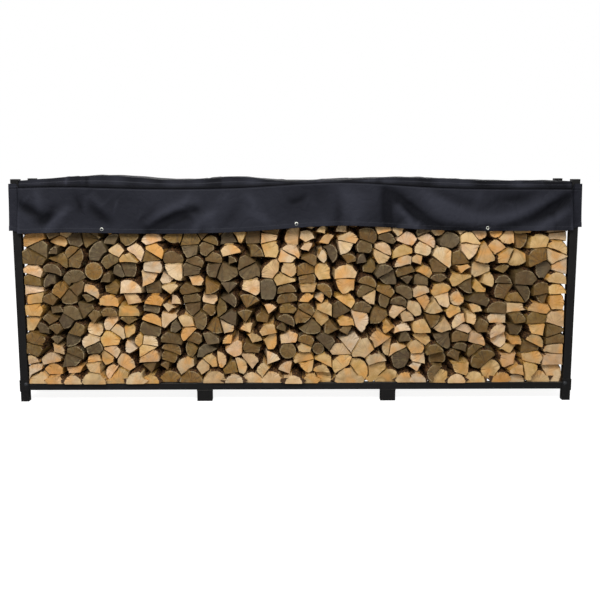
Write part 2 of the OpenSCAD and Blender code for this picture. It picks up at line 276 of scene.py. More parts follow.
def new_piece(name, parts, *finishes):
    """An object from parts, each an array of points and a list of faces, with its finishes."""
    points = np.concatenate([part[0] for part in parts])
    starts = np.cumsum([0] + [len(part[0]) for part in parts])
    faces = []
    for (_, *blocks), start in zip(parts, starts):
        for block in blocks:
            faces += (block + start).tolist()
    mesh = bpy.data.meshes.new(name)
    mesh.from_pydata(points, [], faces)
    for finish in finishes:
        mesh.materials.append(finish)
    piece = bpy.data.objects.new(name, mesh)
    bpy.context.scene.collection.objects.link(piece)
    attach(piece, "root")
    return piece


def run_along(line):
    """The distance along a line to each of its points: the lengths of its steps, added up."""
    return np.concatenate([[0], np.cumsum(np.hypot(*np.diff(line, axis=0).T))])


def at_runs(runs, line):
    """The places at given distances along a line, straight between its points."""
    run = run_along(line)
    return np.stack([np.interp(runs, run, line[:, 0]), np.interp(runs, run, line[:, 1])], axis=1)


def outward_of(loop):
    """Unit directions out of a closed loop, square to the line from the point before to the one after."""
    along = np.roll(loop, -1, axis=0) - np.roll(loop, 1, axis=0)
    outward = np.stack([along[:, 1], -along[:, 0]], axis=1)
    return outward / np.hypot(*outward.T)[:, None]


def tube_loop(width, height):
    """Even steps round a square tube: four corner arcs about inset centres, measured off by length.

    Returns the places and the outward directions in the plane across the tube, and the distances.
    """
    turn = (np.arange(CORNER_STEPS) + 0.5) * 2 * np.pi / CORNER_STEPS
    spoke = np.stack([np.cos(turn), np.sin(turn)], axis=1)
    arcs = spoke * TUBE_CORNER + np.sign(spoke) * (np.array([width, height]) / 2 - TUBE_CORNER)
    arcs = np.concatenate([arcs, arcs[:1]])
    girth = run_along(arcs)[-1]
    steps = np.linspace(0, girth, round(girth / BEAD_STEP), endpoint=False)
    loop = at_runs(steps, arcs)
    return loop, outward_of(loop), steps


def weld_bead(middle, first_axis, second_axis, width, height):
    """A bead round a tube whose section lies on two axes, about a middle.

    A circle is carried round the loop. Its radius swells and thins as a cosine of the distance,
    and each side of it leans ahead of the last, as the ripples of a weld do.
    """
    plane = np.eye(3)[[first_axis, second_axis]]
    loop, outward, steps = tube_loop(width, height)
    around = np.arange(BEAD_SIDES) * 2 * np.pi / BEAD_SIDES
    lean = steps[:, None] / RIPPLE_PITCH * 2 * np.pi + RIPPLE_LEAN * np.cos(around)
    radius = BEAD_RADIUS * (1 + RIPPLE_DEPTH * np.cos(lean))[:, :, None]
    centres = (np.array(middle) + loop @ plane)[:, None, :]
    out = (outward @ plane)[:, None, :]
    points = centres + radius * (np.cos(around)[:, None] * out + np.sin(around)[:, None] * np.cross(*plane))
    return points.reshape(-1, 3), grid_faces(len(steps), BEAD_SIDES, True, True)


def box_middle(node):
    """The middle and the size of a node's box."""
    low, high = (np.array(corner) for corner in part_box(node))
    return (low + high) / 2, high - low


def crossbar_welds(node):
    """The two beads at the ends of a bar that runs from front to rear."""
    middle, size = box_middle(node)
    return [weld_bead(middle + [0, end * size[1] / 2, 0], 0, 2, size[0], size[2]) for end in (-1, 1)]


def saddle_weld(side, face):
    """The bead where an outer rail meets the inner wall of its saddle."""
    post_low, post_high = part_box(f"{side}_{face}_post")
    rail_low, rail_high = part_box(f"{face}_{side}_rail")
    rail_middle, size = box_middle(f"{face}_middle_rail")
    outer = rail_low.x if side == "left" else rail_high.x
    inner = post_low.x + post_high.x - outer
    return weld_bead((inner, rail_middle[1], rail_middle[2]), 1, 2, size[1], size[2])


def sleeve_weld(node):
    """The bead under a splice sleeve, whose height is its depth, round the top of its leg."""
    low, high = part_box(node)
    sleeve = high.y - low.y
    middle = ((low.x + high.x) / 2, (low.y + high.y) / 2, high.z - sleeve)
    return weld_bead(middle, 0, 1, high.x - low.x, sleeve)


bars = [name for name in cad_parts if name.endswith("crossbar")]
legs = [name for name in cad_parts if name.endswith("leg")]
saddles = [(side, face) for side in ("left", "right") for face in ("front", "rear")]
bar_welds = [bead for name in bars for bead in crossbar_welds(name)]
rail_welds = [saddle_weld(*saddle) for saddle in saddles] + [sleeve_weld(name) for name in legs]
for name, welds in (("crossbar_weld_beads", bar_welds), ("rail_weld_beads", rail_welds)):
    beads = new_piece(name, welds, powder_coated)
    beads.data.shade_smooth()


# Bolts: one blackened carriage bolt through the face of each saddle into its post, with a washer
# under a low domed head. The saddles would otherwise only hook round the posts.
BOLT_INSET = 0.0105
BOLT_HEIGHT = 0.098
BOLT_SIDES = 28
# Radius and height of the head's profile above the saddle, from the washer's rim to the crown
BOLT_PROFILE = np.array([[11, -0.4], [11, 1.2], [10.4, 1.6], [8.6, 1.6], [8.6, 2.3], [7.9, 3.6],
                         [6.2, 4.8], [3.8, 5.6], [1.6, 5.9]]) / 1000


def blackened_steel():
    """Blackened steel: a cloudy near black with an oily sheen, and scuffs where a spanner has turned it."""
    finish, tree, shader = new_finish("blackened_steel", Specular_IOR_Level=0.4)
    place = object_place(tree)
    clouds = noise(tree, place, 180, 4)
    metal = mix(tree, clouds, linear(24, 25, 28), linear(40, 42, 47))
    metal = mix(tree, mask_of(tree, scuffs, place, 0.5), metal, linear(98, 97, 95))
    wire(tree, shader, {"Base Color": metal, "Roughness": span(tree, clouds, 0.3, 0.7, 0.34, 0.48)})
    return finish


def turned(profile, middle, outward, sides):
    """A profile of radii and heights turned round an axis that points outward from a middle, with a
    crown that closes on the axis. Returns the points, the bands between rings and the crown's fan."""
    outward = np.array(outward, float)
    first = np.cross(outward, (0, 0, 1))
    second = np.cross(outward, first)
    turn = np.arange(sides) * 2 * np.pi / sides
    rim = np.cos(turn)[:, None] * first + np.sin(turn)[:, None] * second
    rings = profile[:, 0][:, None, None] * rim + profile[:, 1][:, None, None] * outward + np.array(middle)
    crown = np.array(middle) + profile[-1, 1] * outward
    last = (len(profile) - 1) * sides + np.arange(sides)
    fan = np.stack([last, np.roll(last, -1), np.full(sides, len(profile) * sides)], axis=1)
    bands = grid_faces(len(profile), sides, False, True)
    return np.concatenate([rings.reshape(-1, 3), crown[None]]), bands, fan


def saddle_bolt(side, face):
    """The bolt of one saddle, on its front or rear face and a little towards the load."""
    low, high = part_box(f"{face}_{side}_rail")
    post_middle = box_middle(f"{side}_{face}_post")[0]
    inner = post_middle[0] + (BOLT_INSET if side == "left" else -BOLT_INSET)
    face_y, outward = (low.y, -1) if face == "front" else (high.y, 1)
    return turned(BOLT_PROFILE, (inner, face_y, BOLT_HEIGHT), (0, outward, 0), BOLT_SIDES)


bolts = new_piece("saddle_bolts", [saddle_bolt(*saddle) for saddle in saddles], blackened_steel())
bolts.data.shade_smooth()
bolts.data.set_sharp_from_angle(angle=math.radians(40))


# Firewood: round wood sawn to length and split along the grain with an axe, stacked in ten courses
# between the posts. Each log keeps the room of its solid: a sawn face at either end, torn flat sides
# where it was split, and bark on what was the outside of the tree.

# Points round a log, rings of a sawn face as shares of its outline, and places along a log as shares
# of its length
RING = 34
FACE_RINGS = (0.45, 0.85)
STATIONS = np.array([0, 0.008, 0.06, 0.2, 0.36, 0.5, 0.64, 0.8, 0.94, 0.992, 1])
# The bark of a solid has sides of one length, to this share, that turn by so many degrees. A corner
# that turns by more than the last number is sharp.
EVEN_SIDES = 0.03
BARK_TURN = (0.8, 25)
SHARP_TURN = 22
# What is missing from the room of a log, and the most of its radius that this takes
LOG_CLEARANCE = 0.0008
WAVE_DEPTH = 0.0055
FURROW_DEPTH = 0.0035
SAWN_ARRIS = 0.0012
SPLIT_CHIP = 0.014
WASTE_MOST = 0.3
# Slope of the saw cuts, and how far the bark is broken back from them
SAW_TILT = 0.035
BARK_CHIPS = 0.006
# Crooked growth: steps in which it fills the hollows half way along the logs, the part of a gap that
# a log takes in each step, the widest gap that counts as a hollow, how that fades in, and how closely
# the growth keeps to the middle of a log
SWELL_STEPS = 8
SWELL_SHARE = 0.48
HOLLOW_MOST = 0.16
HOLLOW_FADE = 0.03
SWELL_POWER = 1.6
# Foot of the lowest logs: its height, the part of it that fades out, and how far a side has to face
# down to begin to bear on the rails and to bear on them fully
FOOT_HEIGHT = 0.034
FOOT_FADE = 0.012
BEARING = (0.4, 0.9)
# Courses at the top that keep within their solids, under the cover
COVERED_COURSES = 2
# Screen colours of freshly cut and of weathered wood, how unevenly they mix, and the lightness of a log
FRESH_TONES = [(208, 182, 142), (201, 164, 102), (213, 191, 162), (207, 176, 144), (197, 142, 72),
               (180, 146, 90)]
GREY_TONES = [(110, 82, 39), (91, 71, 41), (126, 99, 50), (80, 66, 49), (137, 100, 46), (102, 88, 66)]
TONE_MIX = 0.25
LIGHTNESS = (0.72, 1.03)
# Where older wood was stacked: x, z and reach of each patch, and the chance of it outside and within
GREY_PATCHES = [(-1.3, 0.66, 0.22), (-1.12, 0.86, 0.16), (-0.45, 0.8, 0.24), (0.0, 0.53, 0.27),
                (-0.6, 0.3, 0.2), (0.1, 0.34, 0.14), (0.5, 0.62, 0.12), (1.25, 0.63, 0.2),
                (0.97, 0.3, 0.14), (-1.2, 0.4, 0.14), (0.3, 0.86, 0.14)]
OLD_CHANCE = 0.14
PATCH_CHANCE = 0.72
# Share of bark round a log from which it is a whole round, which is older wood too
ROUND_BARK = 0.9
# What every log carries for its finishes: place about the heart, tone, age and girth
LOG_ATTRIBUTES = {"grain": "FLOAT_VECTOR", "tone": "FLOAT_COLOR", "age": "FLOAT", "girth": "FLOAT"}


def log_solids(node):
    """The logs of a course, each as its front outline and its two ends.

    Corners of the loose triangles are joined where they meet. Every corner takes the lowest number
    that its triangles share until nothing changes, so that a log's corners have one number, and its
    front corners are put in order of their angle round their middle.
    """
    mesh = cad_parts[node].data
    places = np.empty(3 * len(mesh.vertices), np.float32)
    mesh.vertices.foreach_get("co", places)
    loops = np.empty(len(mesh.loops), np.int32)
    mesh.loops.foreach_get("vertex_index", loops)
    corners, number = np.unique(places.reshape(-1, 3).astype(float).round(5), axis=0, return_inverse=True)
    triangles = number.ravel()[loops].reshape(-1, 3)
    label, lower = None, np.arange(len(corners))
    while not np.array_equal(label, lower):
        label = lower
        lower = label.copy()
        np.minimum.at(lower, triangles, label[triangles].min(axis=1, keepdims=True))
        lower = lower[lower]
    for root in np.unique(label):
        log = corners[label == root]
        front, back = log[:, 1].min(), log[:, 1].max()
        section = log[log[:, 1] < (front + back) / 2][:, [0, 2]]
        spoke = section - section.mean(axis=0)
        yield section[np.argsort(np.arctan2(spoke[:, 1], spoke[:, 0]))], front, back


def bark_and_heart(outline):
    """Which sides of an outline are bark, and the heart and girth of the tree it came from.

    A corner lies on the bark where the sides before and after it are of one length and turn little.
    The heart is the middle of the circle through such corners and their neighbours. A log without bark
    has its heart in its own middle and a girth that lies outside it.
    """
    before = outline - np.roll(outline, 1, axis=0)
    after = np.roll(before, -1, axis=0)
    cross = before[:, 0] * after[:, 1] - before[:, 1] * after[:, 0]
    turn = np.arctan2(cross, (before * after).sum(axis=1))
    even = np.abs(np.hypot(*after.T) / np.hypot(*before.T) - 1) < EVEN_SIDES
    least, most = np.radians(BARK_TURN)
    grown = even & (turn < most) & (turn > least)
    if not grown.any():
        middle = outline.mean(axis=0)
        return grown, turn, middle, 1.2 * np.hypot(*(outline - middle).T).max()
    here, last, coming = outline[grown], outline[grown] - before[grown], outline[grown] + after[grown]
    squares = [(place ** 2).sum(axis=1) for place in (last, here, coming)]
    doubled = 2 * cross[grown]
    heart_x = (squares[0] * (here - coming)[:, 1] + squares[1] * (coming - last)[:, 1]
               + squares[2] * (last - here)[:, 1]) / doubled
    heart_z = (squares[0] * (coming - here)[:, 0] + squares[1] * (last - coming)[:, 0]
               + squares[2] * (here - last)[:, 0]) / doubled
    heart = np.array([np.median(heart_x), np.median(heart_z)])
    return grown | np.roll(grown, -1), turn, heart, np.median(np.hypot(*(here - heart).T))


def even_ring(outline, bark, turn):
    """Points at even steps round an outline, the nearest step moved onto each sharp corner.

    Returns the points, their outward directions and whether the side after each is bark.
    """
    start = turn.argmax()
    outline, bark, turn = (np.roll(values, -start, axis=0) for values in (outline, bark, turn))
    closed = np.concatenate([outline, outline[:1]])
    run = run_along(closed)
    steps = np.linspace(0, run[-1], RING, endpoint=False)
    sharp = run[:-1][turn > math.radians(SHARP_TURN)]
    steps[np.minimum(np.rint(sharp / run[-1] * RING).astype(int), RING - 1)] = sharp
    ring = at_runs(steps, closed)
    middles = (steps + np.append(steps[1:], run[-1])) / 2
    side = np.searchsorted(run, middles, side="right") - 1
    return ring, outward_of(ring), bark[side]


def gaps_between(rings, course, floor):
    """The gap from each point of every ring to the nearest other log in its own or the next courses.

    The other rings are filled in with three points between neighbours. The rails count as a log that
    mirrors the lowest ones.
    """
    side = (np.roll(rings, -1, axis=1) - rings)[:, :, None]
    dense = (rings[:, :, None] + side * np.arange(0, 1, 0.25)[:, None]).reshape(len(rings), -1, 2)
    number = np.arange(len(rings))
    gaps = np.empty(rings.shape[:2])
    for row in np.unique(course):
        own, near = course == row, np.abs(course - row) < 2
        here, there = rings[own].reshape(-1, 2), dense[near].reshape(-1, 2)
        squares = (here ** 2).sum(axis=1)[:, None] + (there ** 2).sum(axis=1) - 2 * here @ there.T
        squares[np.repeat(number[own], RING)[:, None] == np.repeat(number[near], dense.shape[1])] = np.inf
        gaps[own] = np.sqrt(np.maximum(squares.min(axis=1), 0)).reshape(-1, RING)
    return np.minimum(gaps, 2 * (rings[:, :, 1] - floor))


def crooked_swell(rings, outward, course, floor):
    """How far the points of each ring grow outwards half way along their log.

    In each step a point takes a share of its gap, as far as the logs have grown. Points that face the
    open stay where they are.
    """
    swell = np.zeros(rings.shape[:2])
    for _ in range(SWELL_STEPS):
        gaps = gaps_between(rings + outward * swell[:, :, None], course, floor)
        swell += np.maximum(SWELL_SHARE * gaps, 0) * np.clip((HOLLOW_MOST - gaps) / HOLLOW_FADE, 0, 1)
    return swell


def log_surface(log, rng):
    """Points of a log in rows, from inside its front face, over the rim and along it to its back face.

    Along the log the ring moves inwards by the clearance, four slow sines that turn along the grain,
    the furrows of the bark, one chip torn off along an edge, and the worn arris at the saw cuts. Half
    way along, and all along its foot on the rails, it swells into the hollows beside it, within its room.
    What faces down there keeps to the ring, to bear on the rails. Either end is a plane that leans as
    the saw did, with the bark broken back from it.
    """
    ring, outward, room = log["ring"], log["outward"], log["room"]
    rough = log["bark"] | np.roll(log["bark"], 1)
    around = np.arange(RING) * 2 * np.pi / RING
    count = np.arange(2, 6)
    phase, twist = rng.uniform(0, 2 * np.pi, len(count)), rng.normal(0, 0.9, len(count))
    turns = count * around[:, None] + phase + twist * STATIONS[:, None, None]
    sway = np.sin(turns) @ (1 / count)
    reach = np.hypot(*(ring - ring.mean(axis=0)).T)
    inward = LOG_CLEARANCE + WAVE_DEPTH * rng.uniform(0.3, 1) * (sway - sway.min()) / np.ptp(sway)
    furrows = 0.7 * rng.uniform(0, 1, RING) + 0.3 * rng.uniform(0, 1, (len(STATIONS), RING))
    inward = inward + FURROW_DEPTH * furrows * rough
    chip_at, chip_width = rng.integers(RING), rng.uniform(1.2, 3)
    chip_depth = SPLIT_CHIP * max(0.0, rng.uniform(-0.8, 1))
    away = (np.arange(RING) - chip_at + RING / 2) % RING - RING / 2
    inward = inward + chip_depth * np.exp(-(away / chip_width) ** 2) * rng.uniform(0.6, 1, (len(STATIONS), 1))
    inward[[0, -1]] += SAWN_ARRIS
    foot = np.clip((room[0][1] + FOOT_HEIGHT - ring[:, 1]) / FOOT_FADE, 0, 1)
    inside = np.sin(np.pi * STATIONS)[:, None] ** SWELL_POWER
    inward = np.minimum(inward, WASTE_MOST * reach) * (1 - inside)
    inward = inward - log["swell"] * np.maximum(inside, foot)
    begins, bears = BEARING
    bearing = foot * np.clip((-outward[:, 1] - begins) / (bears - begins), 0, 1)
    section = np.clip(ring - outward * (inward * (1 - bearing))[:, :, None], *room)

    lean = section[[0, -1]] @ rng.normal(0, SAW_TILT, (2, 2)).T
    lean = lean[[0, 1], :, [0, 1]]
    lean = lean - lean.min(axis=1, keepdims=True)
    broken = BARK_CHIPS * rng.uniform(0, 1, (2, RING)) ** 2 * rough
    front, back = log["front"] + lean[0] + broken[0], log["back"] - lean[1] - broken[1]
    y = front + (back - front) * STATIONS[:, None]
    sides = np.stack([section[:, :, 0], y, section[:, :, 1]], axis=-1)

    faces = []
    for rim in (sides[0], sides[-1]):
        centre = rim.mean(axis=0)
        faces.append(np.stack([centre + (rim - centre) * share for share in FACE_RINGS]))
    rows = np.concatenate([faces[0], sides, faces[1][::-1]])
    poles = np.stack([sides[0].mean(axis=0), sides[-1].mean(axis=0)])
    return np.concatenate([rows.reshape(-1, 3), poles])


def log_topology():
    """The faces that every log shares: bands between rows, and a fan to the middle of either face.

    Also returns which of the bands lie along the log and not on a sawn face.
    """
    rows = len(STATIONS) + 2 * len(FACE_RINGS)
    bands = grid_faces(rows, RING, False, True)
    row = np.repeat(np.arange(rows - 1), RING)
    along = (row >= len(FACE_RINGS)) & (row < rows - 1 - len(FACE_RINGS))
    first, last = np.arange(RING), (rows - 1) * RING + np.arange(RING)
    front_fan = np.stack([np.roll(first, -1), first, np.full(RING, rows * RING)], axis=1)
    back_fan = np.stack([last, np.roll(last, -1), np.full(RING, rows * RING + 1)], axis=1)
    return bands, np.concatenate([front_fan, back_fan]), along


def weathered_chance(x, z):
    """How likely a log is old and grey: high in the older patches, low in the bottom courses."""
    patch = sum(np.exp(-((x - px) ** 2 + (z - pz) ** 2) / reach ** 2) for px, pz, reach in GREY_PATCHES)
    return np.clip(OLD_CHANCE + PATCH_CHANCE * patch, 0, 0.95) * np.clip((z - 0.05) / 0.25, 0.25, 1)


def log_tone(old, rng):
    """A linear colour mixed unevenly from the tones of fresh or of grey wood, lighter or darker."""
    tones = np.array([linear(*tone)[:3] for tone in (GREY_TONES if old else FRESH_TONES)])
    shares = rng.dirichlet(np.full(len(tones), TONE_MIX))
    return shares @ tones * rng.uniform(*LIGHTNESS)


def shade(tree, colour, value, saturation):
    """A colour made lighter or darker, and stronger or duller."""
    return add(tree, "HueSaturation", {"Color": colour, "Value": value, "Saturation": saturation})


def timber_colour():
    """Wood colour: the log's own tone in soft blotches, ochre and pale parts in fresh wood, and dark and
    light staining on old wood."""
    group, given, result = new_group("timber_colour", {"Grain": "Vector", "Tone": "Color", "Age": "Float"},
                                     {"Color": "Color"})
    grain, tone, age = (given[name] for name in ("Grain", "Tone", "Age"))
    lighter, darker = shade(group, tone, 1.14, 0.92), shade(group, tone, 0.8, 1.08)
    wood = mix(group, span(group, noise(group, grain, 26, 4, 0.6), 0.28, 0.72), darker, lighter)
    drift = noise(group, grain, 12, 2)
    fresh = span(group, age, 0.3, 0.65, 0.65, 0)
    wood = mix(group, times(group, span(group, drift, 0.5, 0.66), fresh), wood, linear(206, 150, 82))
    wood = mix(group, times(group, span(group, drift, 0.46, 0.32), fresh), wood, linear(209, 178, 130))
    mottle = times(group, span(group, noise(group, grain, 38, 4, 0.6), 0.5, 0.64), age)
    wood = mix(group, times(group, mottle, 0.35), wood, linear(126, 114, 80))
    stain = times(group, span(group, noise(group, grain, 60, 5, 0.7), 0.48, 0.66), age)
    wood = mix(group, times(group, stain, 0.6), wood, linear(68, 59, 43))
    wire(group, result, {"Color": wood})
    return group


def log_value(tree, name):
    """One of the values that every log carries."""
    output = {"FLOAT": "Fac", "FLOAT_VECTOR": "Vector", "FLOAT_COLOR": "Color"}[LOG_ATTRIBUTES[name]]
    return add(tree, "Attribute", output=output, attribute_name=name)


def new_timber(name):
    """A finish of bare wood with its tree and shader, and the log's grain, age and wood colour."""
    finish, tree, shader = new_finish(name, Specular_IOR_Level=0.25)
    grain, age = log_value(tree, "grain"), log_value(tree, "age")
    wood = use_group(tree, timber, {"Grain": grain, "Tone": log_value(tree, "tone"), "Age": age}, "Color")
    return finish, tree, shader, grain, age, wood


def away_from(tree, value, level):
    """How far a value is from a level."""
    return calc(tree, "ABSOLUTE", calc(tree, "SUBTRACT", value, level))


def sawn_face():
    """End grain: rings about the heart, a warmer heartwood, drying checks that run out from the heart,
    a rim of bark, and on old logs a pale edge inside the bark. Saw marks and rings stand up a little."""
    finish, tree, shader, grain, age, wood = new_timber("sawn_end_grain")
    girth = log_value(tree, "girth")
    across = add(tree, "SeparateXYZ", {0: grain}).node.outputs
    flat = add(tree, "CombineXYZ", {"X": across["X"], "Z": across["Z"]})
    radius = add(tree, "VectorMath", {0: flat}, output="Value", operation="LENGTH")
    angle = calc(tree, "ARCTAN2", across["Z"], across["X"])
    share = calc(tree, "DIVIDE", radius, girth)
    rings = add(tree, "TexWave", {"Vector": grain, "Scale": 78, "Distortion": 2.5, "Detail": 2,
                                  "Detail Scale": 0.4}, wave_type="RINGS", rings_direction="Y")
    wood = mix(tree, times(tree, rings, 0.38), wood, shade(tree, wood, 0.74, 1.1))
    heart_wood = mix(tree, 1.0, wood, linear(243, 228, 210), "MULTIPLY")
    wood = mix(tree, span(tree, share, 0.75, 0.1, 0, 0.6), wood, heart_wood)
    checks = add(tree, "TexNoise", {"W": plus(tree, times(tree, angle, 2.4), across["Y"]),
                                    "Scale": 1.0, "Detail": 3.0}, noise_dimensions="1D")
    line = span(tree, away_from(tree, checks, 0.5), 0.004, 0.022, 1, 0)
    line = times(tree, line, span(tree, age, 0, 1, 0.12, 0.75))
    wood = mix(tree, line, wood, linear(58, 46, 34))
    depth = calc(tree, "SUBTRACT", girth, radius)
    ragged = plus(tree, depth, span(tree, noise(tree, grain, 130, 3), 0.3, 0.7, -0.0025, 0.0025))
    pale = times(tree, span(tree, ragged, 0.011, 0.008), age)
    wood = mix(tree, times(tree, pale, 0.55), wood, linear(176, 158, 122))
    wood = mix(tree, span(tree, ragged, 0.0072, 0.0055), wood, linear(60, 40, 22))
    saw = noise(tree, stretched(tree, grain, (55, 1, 520)), 1, 2)
    relief = calc(tree, "SUBTRACT", plus(tree, times(tree, rings, 0.3), saw), line)
    wire(tree, shader, {"Base Color": wood, "Roughness": span(tree, saw, 0.3, 0.7, 0.68, 0.86),
                        "Normal": raised(tree, relief, 0.35, 0.0012)})
    return finish


def split_side():
    """A torn side: long fibres drawn out along the grain, streaked in tone, with splinters standing up."""
    finish, tree, shader, grain, _, wood = new_timber("split_timber")
    fibres = noise(tree, stretched(tree, grain, (210, 5, 210)), 1, 4, 0.6)
    streaks = noise(tree, stretched(tree, grain, (48, 2, 48)), 1, 3)
    light = plus(tree, times(tree, fibres, 0.6), times(tree, streaks, 0.5))
    wood = mix(tree, span(tree, light, 0.4, 0.7), shade(tree, wood, 0.55, 1.35), wood)
    wire(tree, shader, {"Base Color": wood, "Roughness": span(tree, fibres, 0.3, 0.7, 0.9, 0.7),
                        "Normal": raised(tree, plus(tree, fibres, streaks), 0.7, 0.0025)})
    return finish


def rough_bark():
    """Bark: brown plates parted by dark furrows that run along the log, with moss on old logs."""
    finish, tree, shader = new_finish("furrowed_bark", Specular_IOR_Level=0.2)
    grain = log_value(tree, "grain")
    drawn = stretched(tree, grain, (1, 0.28, 1))
    bends = add(tree, "TexNoise", {"Vector": drawn, "Scale": 45.0, "Detail": 3.0}, output="Color")
    bends = stretched(tree, bends, (0.012, 0.012, 0.012))
    bent = add(tree, "VectorMath", {0: drawn, 1: bends}, operation="ADD")
    plates = add(tree, "TexVoronoi", {"Vector": bent, "Scale": 85.0}, feature="DISTANCE_TO_EDGE")
    crest = span(tree, plates, 0.02, 0.2)
    plate_tone = mix(tree, noise(tree, grain, 22, 4), linear(84, 53, 27), linear(118, 86, 52))
    tone = mix(tree, crest, linear(44, 25, 11), plate_tone)
    moss = times(tree, span(tree, noise(tree, grain, 14, 4), 0.58, 0.7), log_value(tree, "age"))
    tone = mix(tree, times(tree, moss, 0.5), tone, linear(98, 102, 78))
    relief = plus(tree, crest, times(tree, noise(tree, grain, 260, 3), 0.5))
    wire(tree, shader, {"Base Color": tone, "Roughness": span(tree, crest, 0, 1, 0.95, 0.78),
                        "Normal": raised(tree, relief, 0.8, 0.004)})
    return finish


def add_attribute(mesh, name, kind, values):
    """A named value on every point of a mesh."""
    field = {"FLOAT": "value", "FLOAT_VECTOR": "vector", "FLOAT_COLOR": "color"}[kind]
    mesh.attributes.new(name, kind, "POINT").data.foreach_set(field, np.asarray(values, np.float32).ravel())


timber = timber_colour()
log_finishes = sawn_face(), split_side(), rough_bark()
log_bands, log_fans, log_along = log_topology()
courses = sorted(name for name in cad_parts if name.startswith("log_course"))
logs = []
for course, node in enumerate(courses):
    for outline, front, back in log_solids(node):
        bark, turn, heart, girth = bark_and_heart(outline)
        ring, outward, ring_bark = even_ring(outline, bark, turn)
        logs.append({"course": course, "heart": heart, "girth": girth, "ring": ring, "outward": outward,
                     "bark": ring_bark, "front": front, "back": back})
rings, ring_out, log_courses = (np.stack([log[key] for log in logs]) for key in ("ring", "outward", "course"))
stack_low, stack_high = rings.min(axis=(0, 1)), rings.max(axis=(0, 1))
for log, swell in zip(logs, crooked_swell(rings, ring_out, log_courses, stack_low[1])):
    covered = log["course"] >= len(courses) - COVERED_COURSES
    log["swell"] = swell
    log["room"] = stack_low, log["ring"].max(axis=0) if covered else stack_high
for course, node in enumerate(courses):
    rng = np.random.default_rng(700 + course)
    parts, sorts = [], []
    values = {name: [] for name in LOG_ATTRIBUTES}
    for log in (log for log in logs if log["course"] == course):
        points = log_surface(log, rng)
        parts.append((points, log_bands, log_fans))
        band_bark = np.tile(log["bark"], len(log_bands) // RING)
        sorts += [np.where(log_along, 1 + band_bark, 0), np.zeros(len(log_fans), int)]
        old = rng.uniform() < weathered_chance(*log["ring"].mean(axis=0)) or log["bark"].mean() > ROUND_BARK
        values["grain"].append(points - [log["heart"][0], rng.uniform(-40, 40), log["heart"][1]])
        values["tone"].append(np.tile(np.append(log_tone(old, rng), 1), (len(points), 1)))
        values["age"].append(np.full(len(points), rng.uniform(0.65, 1) if old else rng.uniform(0, 0.3)))
        values["girth"].append(np.full(len(points), log["girth"]))
    firewood = new_piece(node.replace("log_course", "firewood_course"), parts, *log_finishes)
    firewood.data.polygons.foreach_set("material_index", np.concatenate(sorts).astype(np.int32))
    for name, kind in LOG_ATTRIBUTES.items():
        add_attribute(firewood.data, name, kind, np.concatenate(values[name]))
    firewood.data.shade_smooth()
    firewood.data.set_sharp_from_angle(angle=math.radians(38))
    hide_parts(node)


# Cover: one fitted cover of dark coated cloth, a top panel with deep skirts sewn round it. Slits at
# its corners let the posts stand out, the skirts wrap them, and the hem hangs before the top courses.
CELL = 0.009
CLOTH_THICKNESS = 0.0012
# Skirts: drop from seam to hem, rise of the hem along the rack and past the posts, and the hem's band
SKIRT_DROP = 0.232
HEM_TILT = 0.012
HEM_CURL = 0.017
HEM_BAND = 0.025
HEM_STEP = 0.0009
# Top: depth of the shoulder, its width as a share of that, the roll at the ends, and the seam's tuck
SHOULDER = 0.040
SHOULDER_RUN = 0.95
END_ROLL = 0.018
SEAM_TUCK = 0.003
TUCK_REACH = 0.004
# Posts: how far their tops stand over the load and out of the slits, and the cloth that wraps them
LOAD_BELOW_POSTS = 0.013
POST_PEEK = 0.024
POCKET_SPACE = 0.006
WRAP_RUN = 0.018
WRAP_SNUG = 0.75
CORNER_RADIUS = 0.010
# Folds: the most that they stand out, the distance from the seam over which they grow, the top's lift off
# the logs, and the painted shade that makes the top's flat cloth darker than a crest of the skirts
DRAPE_MOST = 0.018
FOLD_GROWTH = 0.028
RUMPLE_MOST = 0.005
TOP_LIFT = 0.0018
TOP_PAINTED_SHADE = 0.52
# Weave and stitches: their pitch, and the rows of stitches as heights over the hem
WEAVE_PITCH = 0.0011
STITCH_PITCH = 0.0055
STITCH_ROWS = (HEM_BAND - 0.003, SKIRT_DROP + 0.007, SKIRT_DROP - 0.008)
# Swells of the load under the top and lifts of the seam: place, width and height along the rack
CREST_SWELLS = [(-1.052, 0.32, 0.031), (-0.335, 0.19, 0.023), (0.564, 0.38, 0.020)]
SEAM_LIFTS = [(-1.25, 0.33, 0.012), (0.229, 0.43, 0.036)]
# Places of the eyelets along the front, the radius of their holes and of the flat cloth round them
EYELET_PLACES = [(-1.04, 0.954), (0.001, 0.983), (1.028, 0.96)]
EYELET_HOLE = 0.0035
EYELET_FLAT = 0.022
